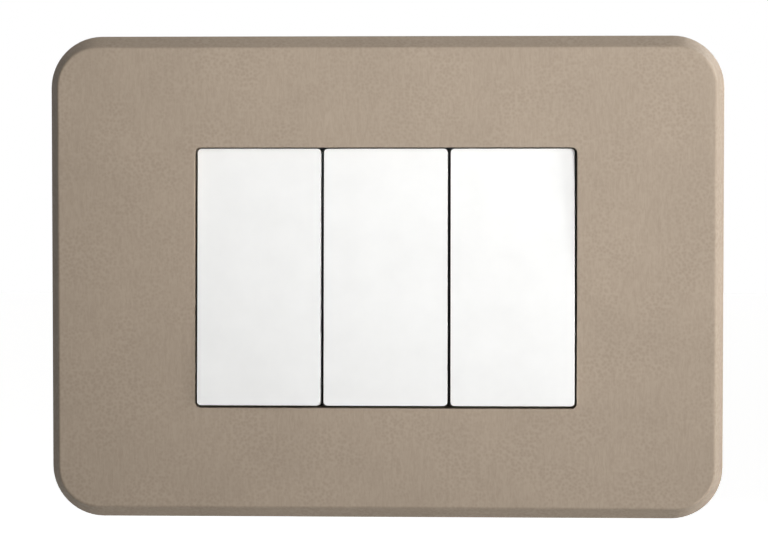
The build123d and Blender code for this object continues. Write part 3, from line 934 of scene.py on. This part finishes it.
class SWITCHPLATE_OT_cover_plate(bpy.types.Operator):
    """Models the bevelled cover plate with its opening, collar, ribs and snap hooks"""

    bl_idname = "switch_plate.cover_plate"
    bl_label = "Cover plate"

    def execute(self, context):
        settings = context.scene.switch_plate.plate
        key = context.scene.switch_plate.key
        low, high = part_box("cover_plate")
        front, back = low.y, high.y
        width, height = high.x - low.x, high.z - low.z
        bevel_back = front + settings.bevel_depth
        ceiling = front + settings.face_wall
        collar_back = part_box("mounting_frame")[0].y
        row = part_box("rocker_key_right")[1].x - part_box("rocker_key_left")[0].x
        opening = (row + 2 * settings.opening_side_gap, key.height + 2 * settings.opening_end_gap)
        collar = (opening[0] + 2 * settings.collar_wall, opening[1] + 2 * settings.collar_wall)
        collar_radius = settings.opening_radius + settings.collar_wall
        hollow = (width - 2 * settings.rim_wall, height - 2 * settings.rim_wall)
        hollow_radius = settings.rim_radius - settings.rim_wall
        share = (bevel_back - ceiling) / settings.bevel_depth
        top = (hollow[0] - 2 * share * settings.bevel_side, hollow[1] - 2 * share * settings.bevel_end)
        top_radius = hollow_radius - share * (settings.rim_radius - settings.face_radius)
        face = (width - 2 * settings.bevel_side, height - 2 * settings.bevel_end)
        outlines = [
            (width, height, settings.rim_radius, back),
            (width, height, settings.rim_radius, bevel_back),
            (*face, settings.face_radius, front),
            (*opening, settings.opening_radius, front),
            (*opening, settings.opening_radius, collar_back),
            (*collar, collar_radius, collar_back),
            (*collar, collar_radius, ceiling),
            (*top, top_radius, ceiling),
            (*hollow, hollow_radius, bevel_back),
            (*hollow, hollow_radius, back),
        ]

        plate = blank_piece("grained_plate")
        loops = [add_loop(outlines[0])]
        for old, new in zip(outlines, outlines[1:]):
            loops.append(extend(loops[-1], old, new))
        first_edge, last_edge = in_loop(loops[0]), in_loop(loops[-1])
        pick("edges", lambda edge: first_edge(edge) or last_edge(edge))
        bpy.ops.mesh.bridge_edge_loops()
        rim_back, rim_front, face_edge, opening_front, opening_back, collar_edge = loops[:6]
        soften(in_loop(face_edge), settings.face_softness, segments=5)
        soften(in_loop(rim_front), settings.rim_softness, segments=4)
        soften(in_loop(opening_front), settings.opening_softness, segments=4)
        for loop in (rim_back, opening_back, collar_edge, loops[-1]):
            soften(in_loop(loop), settings.back_softness, segments=2)
        close_edit()

        inside = blank_piece("plate_inside")
        root, rib_back = front + settings.face_wall / 2, ceiling + settings.rib_depth
        half = settings.rib_wall / 2
        for sign in (-1, 1):
            ends = [sign * (collar[1] - settings.collar_wall) / 2, sign * (top[1] + settings.rim_wall) / 2]
            for place in MODULES:
                x = module_shift(place).x
                add_block((x - half, x + half), (root, rib_back), ends)
            sides = [sign * (collar[0] - settings.collar_wall) / 2, sign * (top[0] + settings.rim_wall) / 2]
            for z in (-settings.rib_offset, settings.rib_offset):
                add_block(sides, (root, rib_back), (z - half, z + half))
            for end in (-1, 1):
                snap_hook(settings, sign, end, root, collar_back + settings.frame_web + settings.hook_slack)
        close_edit()
        combine(plate, inside, "UNION")
        smooth(plate)
        fit(plate, BODY, "cover_plate", "cover_plate", grained_lacquer(settings))
        return {"FINISHED"}


class SWITCHPLATE_OT_rocker_keys(bpy.types.Operator):
    """Models the three white rocker keys as soft-edged trays with ribs and snap legs"""

    bl_idname = "switch_plate.rocker_keys"
    bl_label = "Rocker keys"

    def execute(self, context):
        settings = context.scene.switch_plate.key
        pivot = Vector(joints["key_rock_middle"]["pos_m"])
        low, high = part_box("rocker_key_middle")
        half_width, half_height = (high.x - low.x) / 2, settings.height / 2
        front = pivot.y - settings.face_ahead
        back, inner = front + settings.depth, front + settings.face_wall

        key = blank_piece("white_key_middle")
        add_block((-half_width, half_width), (front, back), (-half_height, half_height))
        pick("faces", lambda face: face.normal.y > FACING)
        bpy.ops.mesh.inset(thickness=settings.skirt_wall)
        bpy.ops.mesh.extrude_region_move(TRANSFORM_OT_translate={"value": (0, inner - back, 0)})
        soften(
            lambda edge: near(edge.calc_length(), settings.depth)
            and all(near(abs(v.co.x), half_width) for v in edge.verts),
            settings.corner_radius,
            segments=6,
        )
        pick("faces", lambda face: face.normal.y < -FACING)
        drawn_in = (1 - settings.draft / half_width, 1, 1 - settings.draft / half_height)
        bpy.ops.transform.resize(value=drawn_in, center_override=(0, front, 0))
        soften(level("y", front), settings.softness, segments=4)
        close_edit()

        inside = blank_piece("key_inside")
        root = front + settings.face_wall / 2
        across = half_width - settings.skirt_wall / 2
        leg_inner = settings.pad_height / 2 + settings.fit
        leg_outer = leg_inner + settings.leg_wall
        leg_middle = (leg_inner + leg_outer) / 2
        catch = inner + settings.pad_thickness + settings.fit
        tip = catch + 2 * settings.leg_hook
        leg_span = (-settings.leg_width / 2, settings.leg_width / 2)
        for end in (-1, 1):
            rib = end * settings.rib_offset
            add_block(
                (-across, across),
                (root, inner + settings.rib_depth),
                (rib - settings.rib_wall / 2, rib + settings.rib_wall / 2),
            )
            add_block(leg_span, (root, tip), (end * leg_inner, end * leg_outer))
            hook = end * (leg_inner - settings.leg_hook)
            add_block(leg_span, (catch, tip), (hook, end * leg_middle))
            pick("verts", lambda vertex: near(vertex.co.z, hook) and near(vertex.co.y, tip))
            bpy.ops.transform.translate(value=(0, 0, end * settings.leg_hook))
        close_edit()
        combine(key, inside, "UNION")
        smooth(key)
        lean(key, pivot, -settings.tilt)
        fit_modules(key, "white_key", "rocker_key", "key_white", key_polymer(settings))
        return {"FINISHED"}


class SWITCHPLATE_OT_contact_springs(bpy.types.Operator):
    """Models the three coil springs in round wire"""

    bl_idname = "switch_plate.contact_springs"
    bl_label = "Contact springs"

    def execute(self, context):
        settings = context.scene.switch_plate.hardware
        inwards = -Vector(joints["plunger_slide_middle"]["axis"]).normalized()
        pivot = Vector(joints["key_rock_middle"]["pos_m"])
        tilt = context.scene.switch_plate.key.tilt
        node = frame["nodes"]["contact_spring_middle"]
        depths = [(vertex.co - pivot) @ inwards for vertex in node.data.vertices]
        start, end = min(depths), max(depths)
        low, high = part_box("contact_spring_middle")
        coil = (high.x - low.x - settings.wire) / 2
        rise = end - start - settings.wire

        spring = blank_piece("wire_spring_middle")
        bpy.ops.mesh.primitive_circle_add(
            vertices=10, radius=settings.wire / 2, location=(coil, 0, 0), rotation=(pi / 2, 0, 0)
        )
        turn_profile(spring, rise / settings.spring_turns, settings.spring_turns, rounded=True)
        settle(spring, pivot + Vector((0, start + settings.wire / 2, 0)), (-pi / 2, 0, 0))
        lean(spring, pivot, -tilt)
        springs = fit_modules(spring, "wire_spring", "contact_spring", "spring_steel", drawn_wire(settings))
        for place, piece in springs.items():
            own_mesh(piece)
        return {"FINISHED"}


def threaded_rod(name, radius, pitch, rod_length):
    """A thread along z, from z 0 downwards: a vee between its roots, turned and capped."""
    depth = THREAD_DEPTH * pitch
    turns = int(rod_length / pitch) - 1
    rod = blank_piece(name)
    profile = [radius - depth / 2, 0, pitch / 2]
    bpy.ops.mesh.primitive_plane_add(size=1, location=profile, rotation=(pi / 2, 0, 0))
    bpy.ops.transform.resize(value=(depth, 1, pitch), center_override=profile)
    bpy.ops.mesh.delete(type="ONLY_FACE")
    pick("edges", level("x", radius - depth))
    bpy.ops.mesh.delete(type="EDGE")
    pick("verts", lambda vertex: near(vertex.co.x, radius))
    bpy.ops.transform.resize(value=(1, 1, THREAD_CREST), center_override=profile)
    turn_profile(rod, pitch, turns, rounded=False)
    settle(rod, (0, 0, -rod_length))
    return rod


def slotted_screw(settings, name, head, neck, thread, pitch, total):
    """A slotted cheese-head screw along z: its head above z 0, its neck and thread below."""
    head_radius, head_height = head
    neck_radius, neck_length = neck
    screw = blank_piece(name)
    bpy.ops.mesh.primitive_cylinder_add(
        vertices=48, radius=head_radius, depth=head_height, location=(0, 0, head_height / 2)
    )
    soften(level("z", head_height), settings.head_softness, segments=4)
    pick("faces", lambda face: face.normal.z < -FACING)
    bpy.ops.mesh.inset(thickness=head_radius - neck_radius)
    bpy.ops.mesh.extrude_region_move(TRANSFORM_OT_translate={"value": (0, 0, -neck_length)})
    close_edit()
    # The cutter of the slot runs out past the head.
    slot = blank_piece("driver_slot")
    add_block(
        (-2 * head_radius, 2 * head_radius),
        (-settings.slot_width / 2, settings.slot_width / 2),
        (head_height - settings.slot_depth, 2 * head_height),
    )
    close_edit()
    combine(screw, slot, "DIFFERENCE")
    combine(screw, threaded_rod("thread", thread, pitch, total), "UNION")
    smooth(screw, SCREW_SMOOTH_ANGLE)
    return screw


class SWITCHPLATE_OT_box_screws(bpy.types.Operator):
    """Models the two long screws that hold the frame to the wall box"""

    bl_idname = "switch_plate.box_screws"
    bl_label = "Box screws"

    def execute(self, context):
        settings = context.scene.switch_plate.hardware
        low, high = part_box("fixing_screws")
        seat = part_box("mounting_frame")[0].y
        head_radius = (high.z - low.z) / 2
        screw = slotted_screw(
            settings,
            "box_screws",
            (head_radius, settings.box_head_height),
            (settings.box_neck, -seat),
            settings.box_radius,
            settings.box_pitch,
            high.y - seat,
        )
        settle(screw, (low.x + head_radius, seat, 0), (pi / 2, 0, 0))
        other = copied(screw, "other_screw", (high.x - low.x - 2 * head_radius, 0, 0))
        screws = joined([screw, other])
        fit(screws, BODY, "fixing_screws", "zinc_plated_steel", zinc_plate(settings))
        return {"FINISHED"}


class SWITCHPLATE_OT_clamp_screws(bpy.types.Operator):
    """Models the pair of clamp screws in each module"""

    bl_idname = "switch_plate.clamp_screws"
    bl_label = "Clamp screws"

    def execute(self, context):
        settings = context.scene.switch_plate.hardware
        low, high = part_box("terminal_screws_middle")
        head_radius = (high.x - low.x) / 2
        seat = high.y - settings.clamp_head_height
        reach = seat - low.y
        screw = slotted_screw(
            settings,
            "clamp_screws_middle",
            (head_radius, settings.clamp_head_height),
            (settings.clamp_neck, settings.clamp_pitch),
            settings.clamp_radius,
            settings.clamp_pitch,
            reach,
        )
        settle(screw, (0, seat, high.z - head_radius), (-pi / 2, settings.slot_turn, 0))
        lower = copied(screw, "lower_screw", (0, 0, low.z - high.z + 2 * head_radius))
        screws = joined([screw, lower])
        finish = bpy.data.materials["zinc-plated steel"]
        fit_modules(screws, "clamp_screws", "terminal_screws", "zinc_plated_steel", finish)
        return {"FINISHED"}


def sink_panel(settings, housing):
    """Sinks a shallow panel with round corners into a housing's back."""
    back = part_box("switch_housing_middle")[1].y
    half_width, half_height = settings.panel_width / 2, settings.panel_height / 2
    depths = (back - settings.panel_depth, back + settings.panel_depth)
    panel = blank_piece("panel")
    add_block((-half_width, half_width), depths, (-half_height, half_height))
    upright = 2 * settings.panel_depth
    soften(lambda edge: near(edge.calc_length(), upright), settings.panel_radius, segments=5)
    close_edit()
    combine(housing, panel, "DIFFERENCE")


def add_fin(settings, front):
    """Adds the fin along a module's flange that closes the joint to the next module."""
    low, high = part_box("switch_front_middle")
    fin_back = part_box("mounting_frame")[0].y - settings.fin_seat
    fin = blank_piece("fin")
    add_block(
        (high.x - settings.fin_thickness, high.x + settings.fin_rise),
        (fin_back - settings.fin_thickness, fin_back),
        (low.z + settings.fin_thickness, high.z - settings.fin_thickness),
    )
    close_edit()
    combine(front, fin, "UNION", crossed=False)


class SWITCHPLATE_OT_inner_parts(bpy.types.Operator):
    """Gives the parts behind the plate their finishes, soft edges, back panels and fins"""

    bl_idname = "switch_plate.inner_parts"
    bl_label = "Inner parts"

    def execute(self, context):
        settings = context.scene.switch_plate.polymer
        module = module_polymer(settings)
        brass = rolled_brass(settings)
        silver = contact_silver(settings)
        zinc = bpy.data.materials["zinc-plated steel"]
        moulded, stamped = settings.moulded_edge, settings.stamped_edge
        frame_piece = merged_copy(frame["nodes"]["mounting_frame"], "support_frame")
        round_edges(frame_piece, moulded)
        smooth(frame_piece)
        fit(frame_piece, BODY, "mounting_frame", "support_polymer", frame_polymer(settings))
        looks = {
            "switch_front": ("module_front", "module_polymer", module, moulded),
            "switch_housing": ("module_housing", "module_polymer", module, moulded),
            "rocker_carrier": ("acetal_carrier", "carrier_polymer", carrier_polymer(settings), moulded),
            "contact_plunger": ("amber_plunger", "plunger_polymer", plunger_polymer(settings), stamped),
            "contact_blade": ("brass_blade", "contact_brass", brass, stamped),
            "common_terminal": ("common_strip", "contact_brass", brass, stamped),
            "load_terminal": ("load_strip", "contact_brass", brass, stamped),
            "terminal_clamps": ("box_clamps", "zinc_plated_steel", zinc, stamped),
            "moving_contact": ("moving_tip", "contact_silver", silver, stamped),
            "fixed_contact": ("fixed_tip", "contact_silver", silver, stamped),
        }
        for kind, (name, slot, finish, reach) in looks.items():
            middle = merged_copy(frame["nodes"][f"{kind}_middle"], f"{name}_middle")
            if kind == "switch_housing":
                sink_panel(settings, middle)
            round_edges(middle, reach)
            if kind == "switch_front":
                add_fin(settings, middle)
            smooth(middle)
            fit_modules(middle, name, kind, slot, finish)
        return {"FINISHED"}


class SWITCHPLATE_OT_stage(bpy.types.Operator):
    """Sets the camera, the lamps and the floor"""

    bl_idname = "switch_plate.stage"
    bl_label = "Stage"

    def execute(self, context):
        settings = context.scene.switch_plate.stage
        self.add_camera(settings, Vector(settings.aim))
        key = self.direction(settings.key_azimuth, settings.key_elevation)
        key_lamp = self.add_lamp("key_lamp", settings, key, settings.key_power)
        key_lamp.data.spread = settings.key_spread
        self.turn_to(key_lamp, Vector(settings.key_aim))
        side = self.direction(settings.side_azimuth, settings.side_elevation)
        self.add_lamp("side_lamp", settings, side, settings.side_power)
        rear = self.direction(settings.rear_azimuth, settings.rear_elevation)
        self.add_lamp("rear_lamp", settings, rear, settings.rear_power)
        self.add_world(settings)
        self.add_floor(settings)
        context.scene.view_settings.view_transform = "Standard"
        return {"FINISHED"}

    @staticmethod
    def direction(azimuth, elevation):
        """The way from the plate to something that stands to the right and above."""
        return Vector((sin(azimuth) * cos(elevation), -cos(azimuth) * cos(elevation), sin(elevation)))

    def add_camera(self, settings, aim):
        back = self.direction(settings.camera_azimuth, settings.camera_elevation)
        camera = bpy.data.objects.new("camera", bpy.data.cameras.new("camera"))
        bpy.context.scene.collection.objects.link(camera)
        camera.location = aim + back * settings.camera_distance
        self.turn_to(camera, aim)
        camera.data.lens = settings.camera_lens
        camera.data.sensor_width = 36.0
        camera.data.clip_start = 10 * MM
        bpy.context.scene.camera = camera

    @staticmethod
    def turn_to(item, aim):
        """Turns a camera or lamp to look at a point."""
        item.rotation_euler = (aim - item.location).to_track_quat("-Z", "Y").to_euler()

    def add_lamp(self, name, settings, side, watts):
        """Adds a square soft box on one side of the plate, turned to its middle."""
        light = bpy.data.lights.new(name, "AREA")
        light.size = settings.lamp_size
        light.energy = watts
        lamp = bpy.data.objects.new(name, light)
        bpy.context.scene.collection.objects.link(lamp)
        lamp.location = side * settings.lamp_distance
        self.turn_to(lamp, Vector((0, 0, 0)))
        return lamp

    @staticmethod
    def shown_rays(tree):
        """One for rays from the camera, straight or by way of gloss or glass, and nought for the rest."""
        path = add_node(tree, "ShaderNodeLightPath")
        seen = add_node(
            tree,
            "ShaderNodeMath",
            {0: path.outputs["Is Camera Ray"], 1: path.outputs["Is Glossy Ray"]},
            operation="MAXIMUM",
        )
        shown = add_node(
            tree,
            "ShaderNodeMath",
            {0: seen.outputs[0], 1: path.outputs["Is Transmission Ray"]},
            operation="MAXIMUM",
        )
        return shown.outputs[0]

    def add_world(self, settings):
        world = bpy.data.worlds.new("studio")
        bpy.context.scene.world = world
        world.use_nodes = True
        tree = world.node_tree
        tree.nodes.clear()
        strength = add_node(
            tree,
            "ShaderNodeMapRange",
            {"Value": self.shown_rays(tree), "To Min": settings.ambient, "To Max": 1.0},
        )
        sky = add_node(
            tree, "ShaderNodeBackground", {"Color": linear("#FFFFFF"), "Strength": strength.outputs["Result"]}
        )
        add_node(tree, "ShaderNodeOutputWorld", {"Surface": sky.outputs["Background"]})

    def add_floor(self, settings):
        bpy.ops.object.select_all(action="DESELECT")
        bpy.ops.mesh.primitive_plane_add(
            size=settings.floor_size, location=(0, 0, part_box("cover_plate")[0].z - settings.floor_drop)
        )
        floor = bpy.context.object
        floor.name = "floor"
        finish, tree = new_finish("matt white board")
        glow = add_node(
            tree,
            "ShaderNodeMath",
            {0: self.shown_rays(tree), 1: settings.floor_glow},
            operation="MULTIPLY",
        )
        close_finish(
            tree,
            Base_Color=settings.floor,
            Roughness=0.9,
            Emission_Color=linear("#FFFFFF"),
            Emission_Strength=glow.outputs[0],
        )
        floor.data.materials.append(finish)


class SWITCHPLATE_PT_panel(bpy.types.Panel):
    """Lists the steps that build the switch plate"""

    bl_idname = "SWITCHPLATE_PT_panel"
    bl_label = "Switch plate"
    bl_space_type = "VIEW_3D"
    bl_region_type = "UI"
    bl_category = "Switch plate"

    def draw(self, context):
        for step in steps:
            self.layout.operator(step.bl_idname)


groups = (PlateSettings, KeySettings, HardwareSettings, PolymerSettings, StageSettings, SwitchPlateSettings)
steps = (
    SWITCHPLATE_OT_cover_plate,
    SWITCHPLATE_OT_rocker_keys,
    SWITCHPLATE_OT_contact_springs,
    SWITCHPLATE_OT_box_screws,
    SWITCHPLATE_OT_clamp_screws,
    SWITCHPLATE_OT_inner_parts,
    SWITCHPLATE_OT_stage,
)


def register():
    for kind in (*groups, *steps, SWITCHPLATE_PT_panel):
        bpy.utils.register_class(kind)
    bpy.types.Scene.switch_plate = bpy.props.PointerProperty(type=SwitchPlateSettings)


def unregister():
    del bpy.types.Scene.switch_plate
    for kind in reversed((*groups, *steps, SWITCHPLATE_PT_panel)):
        bpy.utils.unregister_class(kind)


def main():
    register()
    bpy.ops.switch_plate.cover_plate()
    bpy.ops.switch_plate.rocker_keys()
    bpy.ops.switch_plate.contact_springs()
    bpy.ops.switch_plate.box_screws()
    bpy.ops.switch_plate.clamp_screws()
    bpy.ops.switch_plate.inner_parts()
    bpy.ops.switch_plate.stage()


if __name__ == "__main__":
    main()
